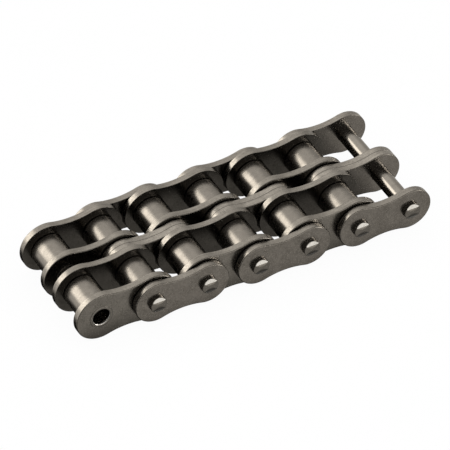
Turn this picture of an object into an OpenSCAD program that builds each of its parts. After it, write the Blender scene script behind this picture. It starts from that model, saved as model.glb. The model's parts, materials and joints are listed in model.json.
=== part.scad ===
// Double strand roller chain, three inner and three outer links long.
// X runs along the chain from its open bush end to its bare pin end, Y along the pins from the
// front strand to the back strand, and Z up. The origin is on the axis of joint 1, half way
// between the strands. Joint j lies j - 1 pitches along X, and link n spans joints n and n + 1.
// Odd links are inner links with bushes and rollers, and even links are outer links with pins.

/* [Chain] */
// Distance from one joint to the next
pitch = 19.05; // [18.8:0.05:25.4]
// Number of pairs of one inner and one outer link
link_pairs = 3; // [1:1:3]
// Clear width between the inner plates, where the sprocket tooth goes
inner_w = 12.57; // [8:0.01:16]
// Gap between an inner plate and the outer or middle plate beside it
side_gap = 0.305; // [0.15:0.005:0.6]

/* [Link plates] */
// Thickness of every link plate
plate_t = 2.4; // [1.6:0.05:3.2]
// Height of an inner plate over its round ends
inner_plate_h = 18.08; // [16.6:0.02:18.6]
// Height of an inner plate at its waist
inner_waist_h = 15.44; // [12:0.02:16.2]
// Height of an outer or middle plate over its round ends
outer_plate_h = 15.62; // [13.4:0.02:17.6]
// Height of an outer or middle plate at its waist
outer_waist_h = 12.8; // [9:0.02:13]
// Lead-in round the pin holes, on the outward face of an outer plate
hole_lead = 0.1; // [0.05:0.05:0.6]

/* [Pins] */
// Diameter of a pin
pin_d = 5.94; // [5:0.02:6.6]
// Length of pin that stands out of each outer plate
pin_proud = 1.6; // [1:0.05:2.4]
// Height of the flat band between the two staked faces of a pin end
stake_band_h = 3.2; // [2:0.1:4.4]
// Slope of the staked faces away from the flat band
stake_angle = 22; // [10:1:50]
// Chamfer round a pin end
pin_chamfer = 0.25; // [0.1:0.05:0.5]
// Radial room of a pin in a middle plate, which slides onto it
slip_play = 0.02; // [0.01:0.01:0.05]

/* [Bushes and rollers] */
// Radial running clearance of a pin in its bush
pin_play = 0.04; // [0.01:0.01:0.08]
// Wall of a bush
bush_wall = 1.19; // [0.8:0.01:1.5]
// Length of bush that stands out of each inner plate
bush_proud = 0.1; // [0:0.01:0.12]
// Chamfer at the mouths of a bush bore
bore_chamfer = 0.4; // [0.1:0.05:0.6]
// Radial running clearance of a roller on its bush
roller_play = 0.08; // [0.02:0.01:0.1]
// Outer diameter of a roller
roller_d = 11.91; // [11:0.01:12.6]
// Gap between each end of a roller and the inner plate
roller_end_gap = 0.15; // [0.05:0.01:0.3]
// Chamfer round the ends of a roller
roller_chamfer = 0.45; // [0.2:0.05:0.8]
// Radial interference of a bush in an inner plate, and of a pin in an outer plate
press = 0.01; // [0.005:0.005:0.03]

/* [Hidden] */
STRANDS = ["front", "back"];
SIDES = ["outer", "inner"];
PAIRS = [1 : link_pairs];
BUSH_JOINTS = [1 : 2 * link_pairs];
PIN_JOINTS = [2 : 2 * link_pairs + 1];

// Distances from the middle plane, which is where the two middle plates meet
strand_y = plate_t + side_gap + plate_t + inner_w / 2;
outer_plate_y = strand_y + inner_w / 2 + plate_t + side_gap;

pin_r = pin_d / 2;
pin_half_l = outer_plate_y + plate_t + pin_proud;
bush_bore_r = pin_r + pin_play;
bush_r = bush_bore_r + bush_wall;
bush_half_l = inner_w / 2 + plate_t + bush_proud;
roller_half_l = inner_w / 2 - roller_end_gap;
cut_past = 1;
$fn = 96;

function joint_x(j) = (j - 1) * pitch;
function inner_plate_name(n, strand, side) = str("inner_plate_", 2 * n - 1, "_", strand, "_", side);
function outer_plate_name(n, strand) = str("outer_plate_", 2 * n, "_", strand);
function middle_plate_name(n, strand) = str("middle_plate_", 2 * n, "_", strand);
function pin_name(j) = str("pin_", j);
function bush_name(j, strand) = str("bush_", j, "_", strand);
function roller_name(j, strand) = str("roller_", j, "_", strand);

// Pieces are drawn for the back strand, and the front strand is their mirror image
module in_strand(strand) {
    if (strand == "front") mirror([0, 1, 0]) children();
    else children();
}

// Lays a solid that stands on z = 0 along +Y, from the point (x, y)
module along_y(x, y) {
    translate([x, y, 0]) rotate([-90, 0, 0]) children();
}

// Figure-eight outline, with waist arcs that run into the round ends without a corner
module plate_outline(plate_h, waist_h) {
    end_r = plate_h / 2;
    arc_r = (pow(pitch / 2, 2) + pow(waist_h / 2, 2) - pow(end_r, 2)) / (plate_h - waist_h);
    arc_y = waist_h / 2 + arc_r;
    meet_y = end_r * sin(atan2(arc_y, pitch / 2));
    difference() {
        union() {
            for (x = [0, pitch])
                translate([x, 0]) circle(r = end_r);
            translate([0, -meet_y]) square([pitch, 2 * meet_y]);
        }
        for (side = [-1, 1])
            translate([pitch / 2, side * arc_y]) circle(r = arc_r);
    }
}

// Plate from y = 0 to plate_t with a hole of one size at both of its joints
module drilled_plate(plate_h, waist_h, hole_r) {
    difference() {
        along_y(0, 0) linear_extrude(plate_t) plate_outline(plate_h, waist_h);
        for (x = [0, pitch])
            along_y(x, -cut_past) cylinder(r = hole_r, h = plate_t + 2 * cut_past);
    }
}

module inner_plate() {
    color([0.42, 0.40, 0.37]) drilled_plate(inner_plate_h, inner_waist_h, bush_r - press);
}

module outer_plate() {
    hole_r = pin_r - press;
    color([0.45, 0.43, 0.40]) difference() {
        drilled_plate(outer_plate_h, outer_waist_h, hole_r);
        for (x = [0, pitch])
            along_y(x, plate_t - hole_lead)
                cylinder(r1 = hole_r, r2 = hole_r + 2 * hole_lead, h = 2 * hole_lead);
    }
}

module middle_plate() {
    color([0.45, 0.43, 0.40]) drilled_plate(outer_plate_h, outer_waist_h, pin_r + slip_play);
}

// Solid of revolution along Y round a joint, mirrored about its middle, from half a profile
// given as [radius, distance from the middle] points
module turned(half_profile) {
    points = len(half_profile) - 1;
    mirrored = [for (i = [points : -1 : 0]) [half_profile[i][0], -half_profile[i][1]]];
    rotate([-90, 0, 0]) rotate_extrude() polygon(concat(half_profile, mirrored));
}

// Two faces are pressed aslant into each end, above and below a flat band, to hold the plates on
module pin() {
    slant_h = pin_r + cut_past - stake_band_h / 2;
    slant_y = pin_half_l - slant_h * tan(stake_angle);
    side_view = [
        [pin_half_l, stake_band_h / 2], [slant_y, pin_r + cut_past],
        [-slant_y, pin_r + cut_past], [-pin_half_l, stake_band_h / 2],
        [-pin_half_l, -stake_band_h / 2], [-slant_y, -pin_r - cut_past],
        [slant_y, -pin_r - cut_past], [pin_half_l, -stake_band_h / 2]
    ];
    color([0.55, 0.53, 0.49]) intersection() {
        turned([
            [0, pin_half_l + cut_past], [pin_r - pin_chamfer - cut_past, pin_half_l + cut_past],
            [pin_r, pin_half_l - pin_chamfer]
        ]);
        rotate([90, 0, 90])
            linear_extrude(2 * (pin_r + cut_past), center = true) polygon(side_view);
    }
}

module bush() {
    color([0.50, 0.48, 0.44]) turned([
        [bush_bore_r, bush_half_l - bore_chamfer], [bush_bore_r + bore_chamfer, bush_half_l],
        [bush_r, bush_half_l]
    ]);
}

module roller() {
    bore_r = bush_r + roller_play;
    color([0.58, 0.56, 0.52]) turned([
        [bore_r, roller_half_l], [roller_d / 2 - roller_chamfer, roller_half_l],
        [roller_d / 2, roller_half_l - roller_chamfer]
    ]);
}

for (n = PAIRS, strand = STRANDS, side = SIDES) {
    plate_y = side == "outer" ? strand_y + inner_w / 2 : strand_y - inner_w / 2 - plate_t;
    in_strand(strand) translate([joint_x(2 * n - 1), plate_y, 0]) inner_plate();
}
for (n = PAIRS, strand = STRANDS) {
    in_strand(strand) translate([joint_x(2 * n), outer_plate_y, 0]) outer_plate();
    in_strand(strand) translate([joint_x(2 * n), 0, 0]) middle_plate();
}
for (j = PIN_JOINTS)
    translate([joint_x(j), 0, 0]) pin();
for (j = BUSH_JOINTS, strand = STRANDS) {
    in_strand(strand) translate([joint_x(j), strand_y, 0]) bush();
    in_strand(strand) translate([joint_x(j), strand_y, 0]) roller();
}
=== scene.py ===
import json
import math

import bmesh
import bpy
from mathutils import Matrix, Vector

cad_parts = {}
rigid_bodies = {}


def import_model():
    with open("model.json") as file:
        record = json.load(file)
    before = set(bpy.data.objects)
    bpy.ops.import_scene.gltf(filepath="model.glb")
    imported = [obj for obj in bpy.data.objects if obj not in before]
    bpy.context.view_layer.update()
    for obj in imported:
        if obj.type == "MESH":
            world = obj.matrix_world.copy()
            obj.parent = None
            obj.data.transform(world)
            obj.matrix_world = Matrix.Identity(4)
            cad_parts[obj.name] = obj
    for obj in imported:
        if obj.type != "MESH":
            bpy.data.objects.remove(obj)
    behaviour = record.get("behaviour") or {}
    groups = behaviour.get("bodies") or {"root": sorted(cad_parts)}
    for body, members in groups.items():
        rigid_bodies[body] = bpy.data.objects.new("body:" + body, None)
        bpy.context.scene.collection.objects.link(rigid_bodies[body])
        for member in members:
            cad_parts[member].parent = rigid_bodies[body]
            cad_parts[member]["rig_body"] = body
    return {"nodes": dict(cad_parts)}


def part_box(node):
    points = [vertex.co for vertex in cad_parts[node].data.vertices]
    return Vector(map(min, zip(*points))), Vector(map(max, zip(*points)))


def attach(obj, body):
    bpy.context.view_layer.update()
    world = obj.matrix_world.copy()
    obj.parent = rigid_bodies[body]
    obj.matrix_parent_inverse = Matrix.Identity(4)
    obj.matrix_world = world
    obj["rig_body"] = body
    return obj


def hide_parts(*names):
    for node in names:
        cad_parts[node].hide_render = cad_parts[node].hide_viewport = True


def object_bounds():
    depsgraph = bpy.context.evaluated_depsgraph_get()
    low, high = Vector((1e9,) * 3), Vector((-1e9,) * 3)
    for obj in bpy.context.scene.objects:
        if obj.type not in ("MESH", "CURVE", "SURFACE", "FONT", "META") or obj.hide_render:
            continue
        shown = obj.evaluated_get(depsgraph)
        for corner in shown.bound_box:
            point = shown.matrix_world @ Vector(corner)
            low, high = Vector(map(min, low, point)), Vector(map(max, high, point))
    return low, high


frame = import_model()
cad_low, cad_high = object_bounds()


# Camera: it looks at the chain from the front left and from well above, through a long lens,
# tilted by a little over half a degree. The place it aims at lies near the middle of the chain.
camera_azimuth = math.radians(-29.466)
camera_elevation = math.radians(41.984)
camera_roll = math.radians(0.642)
camera_distance = 2.0
camera_aim = Vector((0.056906, 0, -0.000302))

camera_back = Vector((
    math.sin(camera_azimuth) * math.cos(camera_elevation),
    -math.cos(camera_azimuth) * math.cos(camera_elevation),
    math.sin(camera_elevation),
))
bpy.ops.object.select_all(action="DESELECT")
bpy.ops.object.camera_add(location=camera_aim + camera_back * camera_distance)
camera = bpy.context.object
camera.name = "camera"
camera.rotation_euler = (
    Matrix.Rotation(camera_azimuth, 3, "Z")
    @ Matrix.Rotation(math.pi / 2 - camera_elevation, 3, "X")
    @ Matrix.Rotation(camera_roll, 3, "Z")
).to_euler()
camera.data.sensor_width = 36
camera.data.lens = 485.94
camera.data.clip_end = 20
bpy.context.scene.camera = camera
bpy.context.scene.view_settings.view_transform = "Standard"


# Floor: a plain clear sheet under the chain, with the white room below it. To the camera it is a
# little darker close to the chain, as a faint painted shadow. To the metal, the part that the chain
# covers is much darker: painted shade for the chain's shadow under it. The trace of white paper in
# it gives the render's noise filter a surface.
floor_width = 8
floor_shadow = 0.04
shadow_reach = 0.02
shadow_samples = 8
paper_trace = 0.002
covered_see_through = 0.3
covered_edge = 0.006
covered_past_link_5 = 0.009

bpy.ops.mesh.primitive_plane_add(size=floor_width, location=(camera_aim.x, 0, cad_low.z))
floor = bpy.context.object
floor.name = "floor"
bpy.ops.object.transform_apply(location=True)


def add_node(tree, kind, **values):
    """Adds a node and sets its properties, and its inputs by name where it has no such property."""
    node = tree.nodes.new(kind)
    for name, value in values.items():
        if hasattr(node, name):
            setattr(node, name, value)
        else:
            node.inputs[name].default_value = value
    return node


def math_node(tree, operation, first, second):
    """Joins two sockets, or a socket and a number, by a sum, product or the like."""
    node = add_node(tree, "ShaderNodeMath", operation=operation)
    for socket, value in zip(node.inputs, (first, second)):
        if isinstance(value, (int, float)):
            socket.default_value = value
        else:
            tree.links.new(value, socket)
    return node.outputs[0]


def ramp(tree, value, start, end, low, high, smooth=False):
    """A number that goes from low to high as value goes from start to end."""
    node = add_node(tree, "ShaderNodeMapRange")
    if smooth:
        node.interpolation_type = "SMOOTHSTEP"
    for name, number in zip(("From Min", "From Max", "To Min", "To Max"), (start, end, low, high)):
        node.inputs[name].default_value = number
    tree.links.new(value, node.inputs["Value"])
    return node.outputs[0]


floor_paint = bpy.data.materials.new("floor_paint")
floor_paint.use_nodes = True
tree = floor_paint.node_tree
tree.nodes.clear()
see_through = add_node(tree, "ShaderNodeBsdfTransparent")
paper = add_node(tree, "ShaderNodeBsdfDiffuse")
floor_mix = add_node(tree, "ShaderNodeMixShader")
floor_out = add_node(tree, "ShaderNodeOutputMaterial")
floor_path = add_node(tree, "ShaderNodeLightPath").outputs
floor_place = add_node(tree, "ShaderNodeSeparateXYZ")
tree.links.new(add_node(tree, "ShaderNodeTexCoord").outputs["Object"], floor_place.inputs[0])

# The chain covers the floor to a little past link 5, as the bare end of link 6 is open below
covered_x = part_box("inner_plate_5_front_outer")[1].x + covered_past_link_5
outside = []
for axis, low, high in (("X", cad_low.x, covered_x), ("Y", cad_low.y, cad_high.y)):
    from_middle = math_node(tree, "SUBTRACT", floor_place.outputs[axis], (low + high) / 2)
    from_middle = math_node(tree, "ABSOLUTE", from_middle, 0)
    outside.append(math_node(tree, "SUBTRACT", from_middle, (high - low) / 2))
clear_of_chain = math_node(tree, "MAXIMUM", *outside)
# Painted shade: the metal sees only part of the room through the floor under the chain
seen_by_metal = ramp(
    tree, clear_of_chain, -covered_edge, covered_edge, covered_see_through, 1, smooth=True)
seen_by_metal = math_node(tree, "MULTIPLY", seen_by_metal, floor_path["Is Glossy Ray"])
# Painted shadow: the camera sees the sheet a little darker where the chain is near
nothing_near = add_node(
    tree, "ShaderNodeAmbientOcclusion", samples=shadow_samples, Distance=shadow_reach)
seen = ramp(tree, nothing_near.outputs["AO"], 0, 1, 1 - floor_shadow, 1)
looked_at = math_node(
    tree, "MAXIMUM", floor_path["Is Camera Ray"], floor_path["Is Transmission Ray"])
seen = math_node(tree, "MULTIPLY", seen, looked_at)
tree.links.new(math_node(tree, "MAXIMUM", seen, seen_by_metal), see_through.inputs["Color"])
tree.links.new(math_node(tree, "MULTIPLY", looked_at, paper_trace), floor_mix.inputs["Fac"])
tree.links.new(see_through.outputs[0], floor_mix.inputs[1])
tree.links.new(paper.outputs[0], floor_mix.inputs[2])
tree.links.new(floor_mix.outputs[0], floor_out.inputs["Surface"])
floor.data.materials.append(floor_paint)


# Light: a white room, dimmer to the right, low down and in front but for its lower right, and dark
# low at the back left. A bright place in front lights the staked pin ends, a small one beside it
# the right edges of the plates, and a soft light at the back left the rollers and rims.
room_fill = 0.5
white = (1, 1, 1)
mirrored_tint = (1, 0.95, 0.87)

# How bright each dimmer part of the room is, and between which values of the axis named it sets
# in. The room's wall is a sphere with a radius of 1.
right_brightness = 0.52
right_x = (0.3, 0.75)
low_brightness = 0.25
low_z = (-0.72, -0.92)
front_brightness = 0.2
front_x = (0.2, -0.15)
front_y = (0.1, -0.45)
front_z = (-0.5, -0.1)

bright_direction = Vector((0.3, -0.95, 0.0))
bright_strength = 1.8
bright_inner = math.radians(20)
bright_outer = math.radians(28)
spark_direction = Vector((0.76, -0.65, 0.0))
spark_strength = 8
spark_inner = math.radians(9)
spark_outer = math.radians(15)
dark_direction = Vector((-0.25, 0.40, -0.88))
dark_inner = math.radians(28)
dark_outer = math.radians(48)

back_left_direction = Vector((-0.60, 0.647, 0.40))
back_left_distance = 1.2
back_left_width = 0.75
back_left_strength = 2.4
back_left_colour = (1, 0.936, 0.826)

room = bpy.data.worlds.new("room")
bpy.context.scene.world = room
room.use_nodes = True
tree = room.node_tree
room_light = tree.nodes["Background"]
room_path = add_node(tree, "ShaderNodeLightPath").outputs
room_direction = add_node(tree, "ShaderNodeTexCoord").outputs["Generated"]
room_axes = add_node(tree, "ShaderNodeSeparateXYZ")
tree.links.new(room_direction, room_axes.inputs[0])


def mix_colour(tree, share, first, second):
    """A colour between two, each a socket or a colour."""
    node = add_node(tree, "ShaderNodeMix", data_type="RGBA")
    tree.links.new(share, node.inputs["Factor"])

    # Inputs 6 and 7 are the node's two colours, and output 2 is the one between them
    for socket, value in ((node.inputs[6], first), (node.inputs[7], second)):
        if isinstance(value, tuple):
            socket.default_value = (*value, 1)
        else:
            tree.links.new(value, socket)
    return node.outputs[2]


def near_direction(direction, inner, outer, low, high):
    """The number high towards a direction of the room, and low away from it."""
    alike = add_node(tree, "ShaderNodeVectorMath", operation="DOT_PRODUCT")
    tree.links.new(room_direction, alike.inputs[0])
    alike.inputs[1].default_value = direction.normalized()
    return ramp(
        tree, alike.outputs["Value"], math.cos(outer), math.cos(inner), low, high, smooth=True)


bright = near_direction(bright_direction, bright_inner, bright_outer, 0, bright_strength)
spark = near_direction(spark_direction, spark_inner, spark_outer, 0, spark_strength)
bright = math_node(tree, "MAXIMUM", bright, spark)
not_dark = near_direction(dark_direction, dark_inner, dark_outer, 1, 0)
not_right = ramp(tree, room_axes.outputs["X"], *right_x, 1, right_brightness)
not_low = ramp(tree, room_axes.outputs["Z"], *low_z, 1, low_brightness, smooth=True)
front_right = ramp(tree, room_axes.outputs["X"], *front_x, 1, front_brightness, smooth=True)
not_front = ramp(tree, room_axes.outputs["Y"], *front_y, 1, front_brightness, smooth=True)
front_low = ramp(tree, room_axes.outputs["Z"], *front_z, 1, front_brightness, smooth=True)
not_dim_front = math_node(tree, "MULTIPLY", front_low, front_right)
not_dim_front = math_node(tree, "MAXIMUM", not_dim_front, not_front)
mirrored = math_node(tree, "MULTIPLY", not_right, not_dark)
mirrored = math_node(tree, "MULTIPLY", mirrored, not_dim_front)
mirrored = math_node(tree, "MULTIPLY", mirrored, not_low)
mirrored = math_node(tree, "ADD", mirrored, bright)
mirrored = math_node(tree, "MULTIPLY", mirrored, room_path["Is Glossy Ray"])
matt = math_node(tree, "MULTIPLY", room_path["Is Diffuse Ray"], room_fill)
seen = math_node(tree, "MAXIMUM", room_path["Is Camera Ray"], mirrored)
seen = math_node(tree, "MAXIMUM", seen, room_path["Is Transmission Ray"])
tree.links.new(math_node(tree, "MAXIMUM", seen, matt), room_light.inputs["Strength"])
room_colour = mix_colour(tree, room_path["Is Glossy Ray"], white, mirrored_tint)
tree.links.new(room_colour, room_light.inputs["Color"])

towards_back_left = back_left_direction.normalized()
bpy.ops.object.light_add(
    type="AREA", location=camera_aim + towards_back_left * back_left_distance,
    rotation=towards_back_left.to_track_quat("Z", "Y").to_euler())
back_left_light = bpy.context.object
back_left_light.name = "back_left_light"
back_left_light.data.shape = "SQUARE"
back_left_light.data.size = back_left_width
back_left_light.data.energy = back_left_strength * math.pi * back_left_width ** 2
back_left_light.data.color = back_left_colour


# Inner plates: the two plates of an inner link in each strand, stamped from strip steel, so that
# the outward edge is rolled over and the inward one is nearly sharp, then tumbled and darkened.
# Two bushes are pressed into each pair and hold it together.
def size_and_middle(node):
    """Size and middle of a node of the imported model."""
    low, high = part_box(node)
    return high - low, (low + high) / 2


pitch = size_and_middle("pin_3")[1].x - size_and_middle("pin_2")[1].x
inner_plate_size = size_and_middle("inner_plate_1_front_outer")[0]
inner_plate_waist = 0.01544
bush_radius = size_and_middle("bush_1_front")[0].z / 2
outer_roll = 0.00032
inner_roll = 0.00012
hole_roll = 0.00008
waist_steps = 14
lobe_steps = 70
outer_roll_steps = 4
small_roll_steps = 2
merge_distance = 0.000001
corner_angle = math.radians(30)
flat_face_weight = 80
y_axis = (0, 1, 0)


def lone_vertex(name, place):
    """A new object of one vertex at the place given, selected in edit mode."""
    bpy.ops.object.select_all(action="DESELECT")
    bpy.ops.mesh.primitive_plane_add(size=0.01)
    piece = bpy.context.object
    piece.name = name
    bpy.ops.object.mode_set(mode="EDIT")
    bpy.ops.mesh.select_mode(type="VERT")
    bpy.ops.mesh.select_all(action="SELECT")
    bpy.ops.mesh.merge(type="CENTER")
    bpy.ops.transform.translate(value=place)
    return piece


def close_up():
    """Joins vertices that lie on each other and turns all faces outwards, in edit mode."""
    bpy.ops.mesh.select_all(action="SELECT")
    bpy.ops.mesh.remove_doubles(threshold=merge_distance)
    bpy.ops.mesh.normals_make_consistent(inside=False)


def round_edges(piece, width, steps, wanted):
    """Rounds the edges between faces that meet at a corner, where wanted(middle of edge) holds."""
    bpy.ops.mesh.select_mode(type="EDGE")
    bpy.ops.mesh.select_all(action="DESELECT")
    mesh = bmesh.from_edit_mesh(piece.data)
    for edge in mesh.edges:
        middle = (edge.verts[0].co + edge.verts[1].co) / 2
        edge.select_set(edge.calc_face_angle(0) > corner_angle and wanted(middle))
    bmesh.update_edit_mesh(piece.data)
    bpy.ops.mesh.bevel(offset=width, segments=steps, profile=0.5, clamp_overlap=False)


def smooth_faces(piece):
    """Leaves edit mode, and shades the rounded edges smoothly with the flats kept flat."""
    bpy.ops.object.mode_set(mode="OBJECT")
    bpy.ops.object.shade_smooth()
    bpy.ops.object.modifier_add(type="WEIGHTED_NORMAL")
    piece.modifiers[-1].weight = flat_face_weight
    bpy.ops.object.modifier_apply(modifier=piece.modifiers[-1].name)


def model_plate(name, size, waist, hole_radius, hole_edge):
    """A plate round the middle of its link, from its inward face at y = 0 to its outward one."""
    lobe_radius = size.z / 2
    waist_radius = ((pitch / 2) ** 2 + (waist / 2) ** 2 - lobe_radius ** 2) / (size.z - waist)
    waist_centre = waist / 2 + waist_radius
    waist_turn = math.atan2(pitch / 2, waist_centre)

    # Half the outline, joined to one hole: a waist arc, a round end and the other waist arc
    plate = lone_vertex(name, (0, 0, waist / 2))
    bpy.ops.mesh.spin(
        steps=waist_steps, angle=-waist_turn, center=(0, 0, waist_centre), axis=y_axis)
    bpy.ops.mesh.spin(
        steps=lobe_steps, angle=math.pi + 2 * waist_turn, center=(-pitch / 2, 0, 0), axis=y_axis)
    bpy.ops.mesh.spin(
        steps=waist_steps, angle=-waist_turn, center=(0, 0, -waist_centre), axis=y_axis)
    bpy.ops.mesh.extrude_region_move(TRANSFORM_OT_translate={"value": (0, 0, waist)})
    bpy.ops.mesh.select_all(action="SELECT")
    bpy.ops.mesh.remove_doubles(threshold=merge_distance)
    bpy.ops.mesh.primitive_circle_add(
        vertices=2 * waist_steps + lobe_steps + 1, radius=hole_radius,
        location=(-pitch / 2, 0, 0), rotation=(math.pi / 2, 0, 0))
    bpy.ops.mesh.select_all(action="SELECT")
    bpy.ops.mesh.bridge_edge_loops()
    bpy.ops.mesh.select_all(action="SELECT")
    bpy.ops.mesh.extrude_region_move(TRANSFORM_OT_translate={"value": (0, size.y, 0)})

    # The cut face across the waist goes, and the other half is the mirror image
    bpy.ops.mesh.select_mode(type="FACE")
    bpy.ops.mesh.select_all(action="DESELECT")
    mesh = bmesh.from_edit_mesh(plate.data)
    for face in mesh.faces:
        face.select_set(abs(face.calc_center_median().x) < merge_distance)
    bmesh.update_edit_mesh(plate.data)
    bpy.ops.mesh.delete(type="ONLY_FACE")
    bpy.ops.object.mode_set(mode="OBJECT")
    bpy.ops.object.modifier_add(type="MIRROR")
    plate.modifiers[-1].merge_threshold = merge_distance
    bpy.ops.object.modifier_apply(modifier=plate.modifiers[-1].name)

    def in_hole(middle):
        return math.hypot(abs(middle.x) - pitch / 2, middle.z) < (hole_radius + lobe_radius) / 2

    def outward(middle):
        return middle.y > size.y / 2

    bpy.ops.object.mode_set(mode="EDIT")
    close_up()
    round_edges(plate, outer_roll, outer_roll_steps, lambda m: outward(m) and not in_hole(m))
    round_edges(plate, inner_roll, small_roll_steps, lambda m: not outward(m) and not in_hole(m))
    round_edges(plate, hole_edge, small_roll_steps, lambda m: outward(m) and in_hole(m))
    round_edges(plate, hole_roll, small_roll_steps, lambda m: not outward(m) and in_hole(m))
    smooth_faces(plate)
    return plate


def put(piece, node, middle=None, turn=0):
    """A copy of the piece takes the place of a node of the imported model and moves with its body."""
    copy = piece.copy()
    copy.data = piece.data.copy()
    copy.name = node + "_steel"
    copy.data.name = copy.name
    place = size_and_middle(node)[1] if middle is None else middle
    copy.data.transform(Matrix.Translation(place) @ Matrix.Rotation(turn, 4, "Z"))
    bpy.context.collection.objects.link(copy)
    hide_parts(node)
    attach(copy, frame["nodes"][node]["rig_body"])


def nodes_named(start):
    """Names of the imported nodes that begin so, in order."""
    return sorted(name for name in frame["nodes"] if name.startswith(start))


def put_plate(piece, node, outward):
    """Puts a copy of a plate with its outward face towards +Y or -Y, as outward is 1 or -1."""
    size, middle = size_and_middle(node)
    middle.y -= outward * size.y / 2
    put(piece, node, middle, 0 if outward > 0 else math.pi)


def steel_group(name, outputs, inputs):
    """An empty node group with the numbers named as its inputs and outputs."""
    group = bpy.data.node_groups.new(name, "ShaderNodeTree")
    for socket, value in inputs:
        made = group.interface.new_socket(socket, in_out="INPUT", socket_type="NodeSocketFloat")
        made.default_value = value
    for socket in outputs:
        group.interface.new_socket(socket, in_out="OUTPUT", socket_type="NodeSocketFloat")
    given = add_node(group, "NodeGroupInput").outputs
    result = add_node(group, "NodeGroupOutput").inputs
    return group, given, result


def tumbled_grain():
    """The skin of tumbled steel: soft clouds of tone, with a fine pepper of small dents."""
    cloud_share = 0.45
    darkest = 0.32
    palest = 0.68
    group, given, result = steel_group(
        "tumbled_grain", ["Tone", "Dents"], [("Cloud Size", 0.004), ("Dent Size", 0.0003)])
    place = add_node(group, "ShaderNodeTexCoord").outputs["Object"]
    cloud = add_node(group, "ShaderNodeTexNoise", Detail=4, Roughness=0.6)
    pepper = add_node(group, "ShaderNodeTexNoise", Detail=2, Roughness=0.6)
    for noise, size in ((cloud, "Cloud Size"), (pepper, "Dent Size")):
        scale = math_node(group, "DIVIDE", 1.0, given[size])
        group.links.new(place, noise.inputs["Vector"])
        group.links.new(scale, noise.inputs["Scale"])
    clouds = math_node(group, "MULTIPLY", cloud.outputs["Fac"], cloud_share)
    peppers = math_node(group, "MULTIPLY", pepper.outputs["Fac"], 1 - cloud_share)
    both = math_node(group, "ADD", clouds, peppers)
    group.links.new(ramp(group, both, darkest, palest, 0, 1), result["Tone"])
    group.links.new(pepper.outputs["Fac"], result["Dents"])
    return group


def rim_lines():
    """Fine lines that the stamping die drew along the rim, and a mask of where the rim is."""
    line_length = 0.00625
    faint = 0.3
    strong = 0.7
    nearly_face_on = 0.85
    nearly_rim_on = 0.35
    group, given, result = steel_group("rim_lines", ["Rim", "Lines"], [("Line Width", 0.00025)])
    coordinates = add_node(group, "ShaderNodeTexCoord").outputs
    normal = add_node(group, "ShaderNodeSeparateXYZ")
    group.links.new(coordinates["Normal"], normal.inputs[0])
    sideways = math_node(group, "ABSOLUTE", normal.outputs["Y"], 0)
    group.links.new(ramp(group, sideways, nearly_face_on, nearly_rim_on, 0, 1), result["Rim"])
    place = add_node(group, "ShaderNodeSeparateXYZ")
    group.links.new(coordinates["Object"], place.inputs[0])
    stretched = add_node(group, "ShaderNodeCombineXYZ")
    for axis in "XZ":
        along = math_node(group, "MULTIPLY", place.outputs[axis], 1 / line_length)
        group.links.new(along, stretched.inputs[axis])
    across = math_node(group, "DIVIDE", place.outputs["Y"], given["Line Width"])
    group.links.new(across, stretched.inputs["Y"])
    lines = add_node(group, "ShaderNodeTexNoise", Scale=1, Detail=3, Roughness=0.7)
    group.links.new(stretched.outputs[0], lines.inputs["Vector"])
    group.links.new(ramp(group, lines.outputs["Fac"], faint, strong, 0, 1), result["Lines"])
    return group


def painted_edge_mask():
    """1 along rounded edges, which get a painted tone for the light and shade they catch."""
    alike_on_flat = 0.995
    alike_on_edge = 0.88
    group, given, result = steel_group("painted_edge_mask", ["Worn"], [("Width", 0.0003)])
    rounded = add_node(group, "ShaderNodeBevel", samples=6)
    group.links.new(given["Width"], rounded.inputs["Radius"])
    surface = add_node(group, "ShaderNodeNewGeometry")
    alike = add_node(group, "ShaderNodeVectorMath", operation="DOT_PRODUCT")
    group.links.new(rounded.outputs[0], alike.inputs[0])
    group.links.new(surface.outputs["Normal"], alike.inputs[1])
    painted_edge = ramp(group, alike.outputs["Value"], alike_on_flat, alike_on_edge, 0, 1)
    group.links.new(painted_edge, result["Worn"])
    return group


tumbled_grain_group = tumbled_grain()
rim_lines_group = rim_lines()
painted_edge_mask_group = painted_edge_mask()


def grouped(tree, group, **values):
    """Places a node group in a material, with its inputs set, and gives its outputs."""
    node = add_node(tree, "ShaderNodeGroup", node_tree=group)
    for name, value in values.items():
        node.inputs[name.replace("_", " ")].default_value = value
    return node.outputs


# The edge tone of each steel is painted on its rounded edges, for the light and shade they catch
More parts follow.
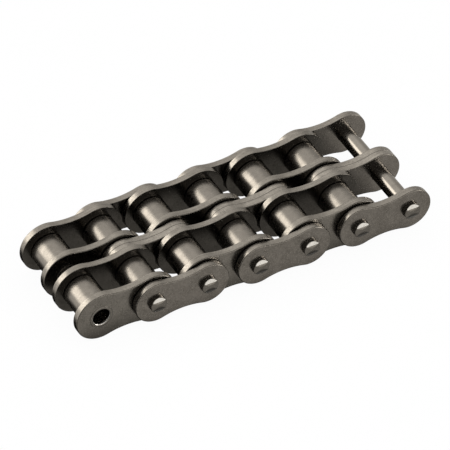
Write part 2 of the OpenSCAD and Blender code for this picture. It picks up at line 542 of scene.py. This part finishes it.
def chain_steel(
        name, face, side, painted_edge=(0.2, 0.189, 0.178), face_roughness=0.25, side_roughness=0.27,
        line_width=0.00022, dents=0.22, cloud_size=0.004, dent_size=0.0005):
    """Tumbled steel: face colours for what points along the pins, and lined sides round them."""
    painted_edge_width = 0.00025
    line_share = 0.5
    roughness_spread = 0.04
    dent_depth = 0.00003
    material = bpy.data.materials.new(name)
    material.use_nodes = True
    tree = material.node_tree
    shader = tree.nodes["Principled BSDF"].inputs
    grain = grouped(tree, tumbled_grain_group, Cloud_Size=cloud_size, Dent_Size=dent_size)
    rim = grouped(tree, rim_lines_group, Line_Width=line_width)
    edges = grouped(tree, painted_edge_mask_group, Width=painted_edge_width)

    face_colour = mix_colour(tree, grain["Tone"], *face)
    line_tone = math_node(tree, "MULTIPLY", rim["Lines"], line_share)
    grain_tone = math_node(tree, "MULTIPLY", grain["Tone"], 1 - line_share)
    side_colour = mix_colour(tree, math_node(tree, "ADD", line_tone, grain_tone), *side)
    body = mix_colour(tree, rim["Rim"], face_colour, side_colour)
    # Painted light and shade: a flat tone on rounded edges, lighter than faces, darker than rims
    tree.links.new(mix_colour(tree, edges["Worn"], body, painted_edge), shader["Base Color"])

    shader["Metallic"].default_value = 1
    base_roughness = ramp(tree, rim["Rim"], 0, 1, face_roughness, side_roughness)
    variation = ramp(tree, grain["Tone"], 0, 1, roughness_spread, -roughness_spread)
    tree.links.new(math_node(tree, "ADD", base_roughness, variation), shader["Roughness"])

    rim_height = math_node(tree, "MULTIPLY", rim["Lines"], rim["Rim"])
    height = math_node(tree, "ADD", rim_height, grain["Dents"])
    bump = add_node(tree, "ShaderNodeBump", Strength=dents, Distance=dent_depth)
    tree.links.new(height, bump.inputs["Height"])
    tree.links.new(bump.outputs[0], shader["Normal"])
    return material


inner_plate_face = ((0.095, 0.09, 0.082), (0.167, 0.158, 0.146))
plate_side = ((0.15, 0.141, 0.129), (0.42, 0.399, 0.372))
inner_plate_steel = chain_steel("inner_plate_steel", face=inner_plate_face, side=plate_side)
inner_plate = model_plate(
    "inner_plate", inner_plate_size, inner_plate_waist, bush_radius, hole_roll)
inner_plate.data.materials.append(inner_plate_steel)
for node in nodes_named("inner_plate_"):
    strand = 1 if "_back_" in node else -1
    put_plate(inner_plate, node, strand if node.endswith("_outer") else -strand)
bpy.data.objects.remove(inner_plate)


# Outer plates: stamped like the inner ones but lower, and pressed on the two pins of an outer link
# from outside. The mouth of each hole has a small lead-in, a fine ring round the pin's end.
outer_plate_size = size_and_middle("outer_plate_2_front")[0]
outer_plate_waist = 0.0128
outer_hole_lead = 0.00012
pin_radius = size_and_middle("pin_2")[0].z / 2

outer_plate_face = ((0.098, 0.091, 0.083), (0.172, 0.162, 0.15))
outer_plate_steel = chain_steel("outer_plate_steel", face=outer_plate_face, side=plate_side)
outer_plate = model_plate(
    "outer_plate", outer_plate_size, outer_plate_waist, pin_radius, outer_hole_lead)
outer_plate.data.materials.append(outer_plate_steel)
for node in nodes_named("outer_plate_"):
    put_plate(outer_plate, node, 1 if node.endswith("_back") else -1)


# Middle plates: two plates stamped like the outer ones, side by side between the strands of an
# outer link. They slide on its pins with their nearly sharp faces together, so that the seam
# between them is only a fine line.
middle_plate_steel = chain_steel(
    "middle_plate_steel", face=outer_plate_face,
    side=((0.15, 0.141, 0.129), (0.52, 0.494, 0.46)))
outer_plate.data.materials[0] = middle_plate_steel
for node in nodes_named("middle_plate_"):
    put_plate(outer_plate, node, 1 if node.endswith("_back") else -1)
bpy.data.objects.remove(outer_plate)


# Pins: ground steel rods through both strands, pressed in the outer plates. Two faces are pressed
# aslant into each end, above and below a flat band, which spreads the end so that it holds.
pin_end = size_and_middle("pin_2")[0].y / 2
stake_band = 0.0032
stake_slope = math.radians(22)
pin_edge = 0.00012
pin_edge_steps = 3
turned_steps = 96
turned_line_width = 0.00012
normal_slack = 0.02


def turned(name, profile):
    """A piece turned round the Y axis, from (radius, distance along the axis) points."""
    piece = lone_vertex(name, (profile[0][0], profile[0][1], 0))
    for start, end in zip(profile, profile[1:]):
        step = (end[0] - start[0], end[1] - start[1], 0)
        bpy.ops.mesh.extrude_region_move(TRANSFORM_OT_translate={"value": step})
    bpy.ops.mesh.select_all(action="SELECT")
    bpy.ops.mesh.spin(steps=turned_steps, angle=2 * math.pi, center=(0, 0, 0), axis=y_axis)
    close_up()
    return piece


pin_steel = chain_steel(
    "pin_steel",
    face=((0.095, 0.09, 0.081), (0.13, 0.123, 0.114)),
    side=((0.25, 0.236, 0.218), (0.38, 0.361, 0.337)),
    side_roughness=0.2, line_width=turned_line_width, dents=0.06)
staked_tones = ((0.3, 0.299, 0.291), (0.4, 0.399, 0.394))
staked_steel = chain_steel(
    "staked_steel", face=staked_tones, side=staked_tones, painted_edge=(0.24, 0.235, 0.23),
    side_roughness=0.25, line_width=turned_line_width, dents=0.12)
pin = turned("pin", [(0, -pin_end), (pin_radius, -pin_end), (pin_radius, pin_end), (0, pin_end)])
for end in (-1, 1):
    for side in (-1, 1):
        bpy.ops.mesh.select_all(action="SELECT")
        bpy.ops.mesh.bisect(
            plane_co=(0, end * pin_end, side * stake_band / 2),
            plane_no=(0, end * math.cos(stake_slope), side * math.sin(stake_slope)),
            use_fill=True, clear_outer=True)
close_up()
round_edges(pin, pin_edge, pin_edge_steps, lambda m: True)
smooth_faces(pin)
pin.data.materials.append(pin_steel)
pin.data.materials.append(staked_steel)

# The faces that are pressed aslant get the staked steel
for face in pin.data.polygons:
    aslant = abs(face.normal.z) > math.sin(stake_slope) - normal_slack
    if aslant and abs(face.normal.y) > math.cos(stake_slope) - normal_slack:
        face.material_index = 1
for node in nodes_named("pin_"):
    put(pin, node)
bpy.data.objects.remove(pin)


# Bushes: thick steel sleeves pressed through the two inner plates of a strand, and a hair proud of
# their outward faces. The mouths of the bore are rounded and left bright, which shows as a thin
# arc at the open end of the chain.
bush_end = size_and_middle("bush_1_front")[0].y / 2
bush_bore_radius = 0.00301
bush_wall_middle = (bush_bore_radius + bush_radius) / 2
bush_edge = 0.00008
bush_edge_steps = 2
bore_mouth = 0.0004
bore_mouth_steps = 4
least_turn_out = 0.05
most_turn_out = 0.98

bush_steel = chain_steel(
    "bush_steel", face=inner_plate_face, side=((0.22, 0.206, 0.19), (0.32, 0.303, 0.283)),
    line_width=turned_line_width)
mouth_tones = ((0.46, 0.456, 0.451), (0.58, 0.582, 0.584))
mouth_steel = chain_steel(
    "mouth_steel", face=mouth_tones, side=mouth_tones, painted_edge=(0.5, 0.5, 0.497),
    face_roughness=0.2, side_roughness=0.2, line_width=turned_line_width, dents=0.12)
bush = turned("bush", [
    (bush_bore_radius, -bush_end), (bush_bore_radius, bush_end), (bush_radius, bush_end),
    (bush_radius, -bush_end), (bush_bore_radius, -bush_end),
])
round_edges(bush, bush_edge, bush_edge_steps, lambda m: math.hypot(m.x, m.z) > bush_wall_middle)
round_edges(bush, bore_mouth, bore_mouth_steps, lambda m: math.hypot(m.x, m.z) < bush_wall_middle)
smooth_faces(bush)
bush.data.materials.append(bush_steel)
bush.data.materials.append(mouth_steel)

# The rounded mouths, which lie between the bore and the flat ends, get the mouth steel
for face in bush.data.polygons:
    at_bore = math.hypot(face.center.x, face.center.z) < bush_bore_radius + bore_mouth
    if at_bore and least_turn_out < abs(face.normal.y) < most_turn_out:
        face.material_index = 1
for node in nodes_named("bush_"):
    put(bush, node)
bpy.data.objects.remove(bush)


# Rollers: loose steel sleeves on the bushes, which a sprocket's teeth push against. Their ends are
# rounded, and tumbling has left the steel satin, brighter than the plates.
roller_size = size_and_middle("roller_1_front")[0]
roller_radius = roller_size.z / 2
roller_end = roller_size.y / 2
roller_play = 0.00008
roller_bore_radius = bush_radius + roller_play
roller_wall_middle = (roller_bore_radius + roller_radius) / 2
roller_edge = 0.00045
roller_edge_steps = 4

roller_steel = chain_steel(
    "roller_steel",
    face=((0.14, 0.131, 0.122), (0.24, 0.225, 0.211)),
    side=((0.18, 0.169, 0.156), (0.36, 0.34, 0.317)),
    face_roughness=0.3, line_width=turned_line_width, dents=0.1,
    cloud_size=0.0018, dent_size=0.00025)
roller = turned("roller", [
    (roller_bore_radius, -roller_end), (roller_radius, -roller_end), (roller_radius, roller_end),
    (roller_bore_radius, roller_end), (roller_bore_radius, -roller_end),
])
round_edges(
    roller, roller_edge, roller_edge_steps, lambda m: math.hypot(m.x, m.z) > roller_wall_middle)
smooth_faces(roller)
roller.data.materials.append(roller_steel)
for node in nodes_named("roller_"):
    put(roller, node)
bpy.data.objects.remove(roller)
